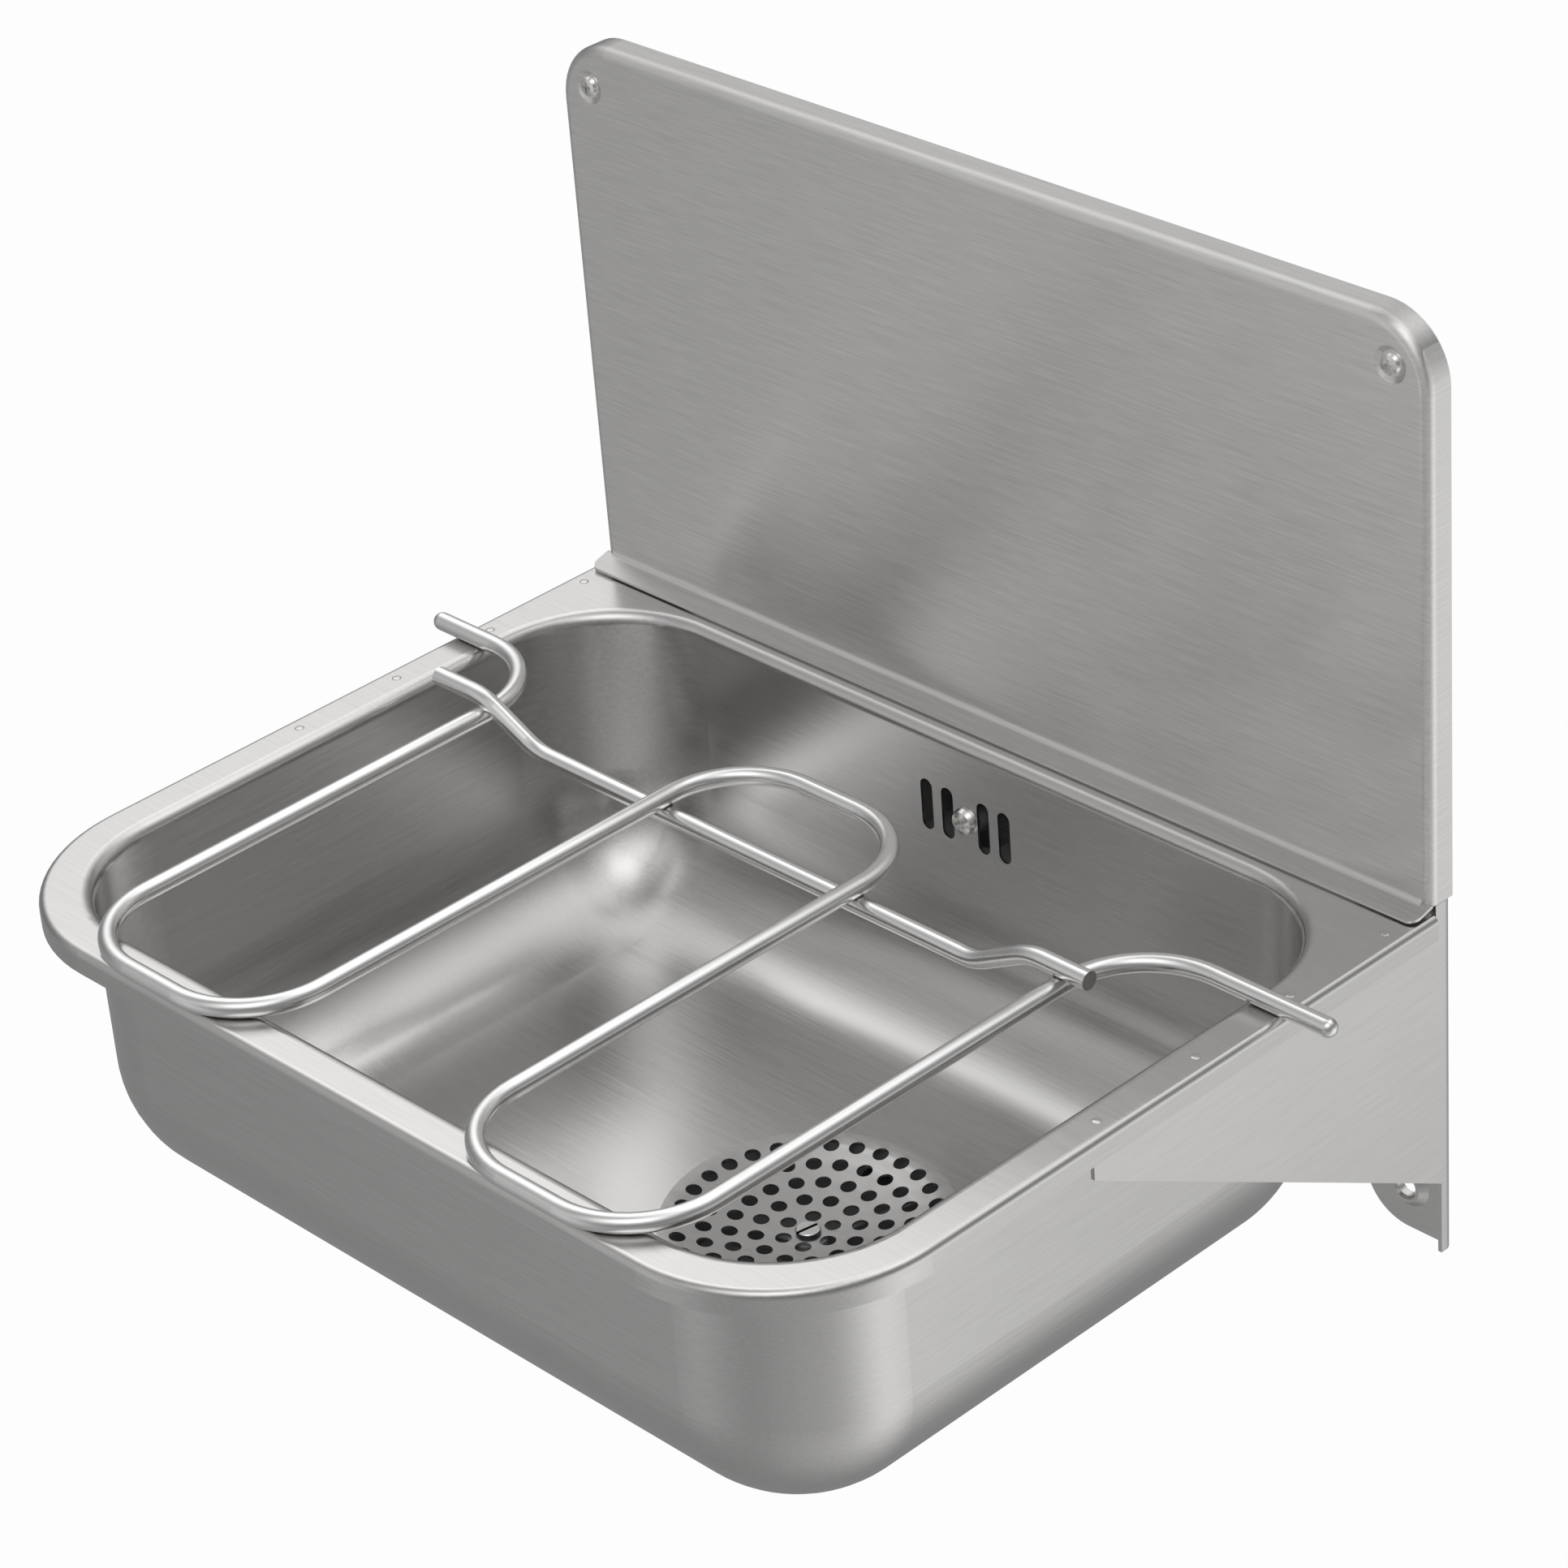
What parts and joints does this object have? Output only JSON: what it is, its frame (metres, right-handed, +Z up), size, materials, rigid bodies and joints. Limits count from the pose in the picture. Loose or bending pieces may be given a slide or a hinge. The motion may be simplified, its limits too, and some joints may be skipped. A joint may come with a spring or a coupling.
{
  "type": "wall-mounted cleaning sink",
  "caption": "Wall-mounted cleaning sink: pressed steel bowl on side brackets with a splashback, a perforated drain, an overflow and a bucket grate that tips up.",
  "frame": {"origin": "centre of the four wall holes of the brackets, in the plane of the wall", "axes": "+X to the right as one stands before the sink, +Y into the wall, +Z up"},
  "size_m": [0.5384, 0.3988, 0.4917],
  "materials": {
    "sheet_steel": "satin, brushed along the width",
    "rod_steel": "drawn, half bright",
    "screw_steel": "bright turned",
    "bush_brass": "machined",
    "seal_rubber": "matt",
    "waste_plastic": "moulded, matt",
    "nut_plastic": "moulded, matt"
  },
  "bodies": {
    "sink": {"basin": "sheet_steel", "left_bracket": "sheet_steel", "right_bracket": "sheet_steel", "splashback": "sheet_steel", "splashback_screws": "screw_steel", "drain_screw": "screw_steel", "overflow_screw": "screw_steel", "drain_insert": "bush_brass", "overflow_insert": "bush_brass", "waste_gasket": "seal_rubber", "overflow_gasket": "seal_rubber", "overflow_upper_seal": "seal_rubber", "overflow_lower_seal": "seal_rubber", "waste_cup": "waste_plastic", "waste_tailpipe": "waste_plastic", "overflow_housing": "waste_plastic", "overflow_pipe": "waste_plastic", "overflow_upper_nut": "nut_plastic", "overflow_lower_nut": "nut_plastic"},
    "grate": {"grate_frame": "rod_steel", "grate_cross_rod": "rod_steel"}
  },
  "joints": [
    {"name": "grate_tip", "type": "hinge", "parent": "sink", "child": "grate", "pos_m": [0, -0.1075, 0.07155], "axis": [-1, 0, 0], "range_deg": [0, 108]}
  ]
}
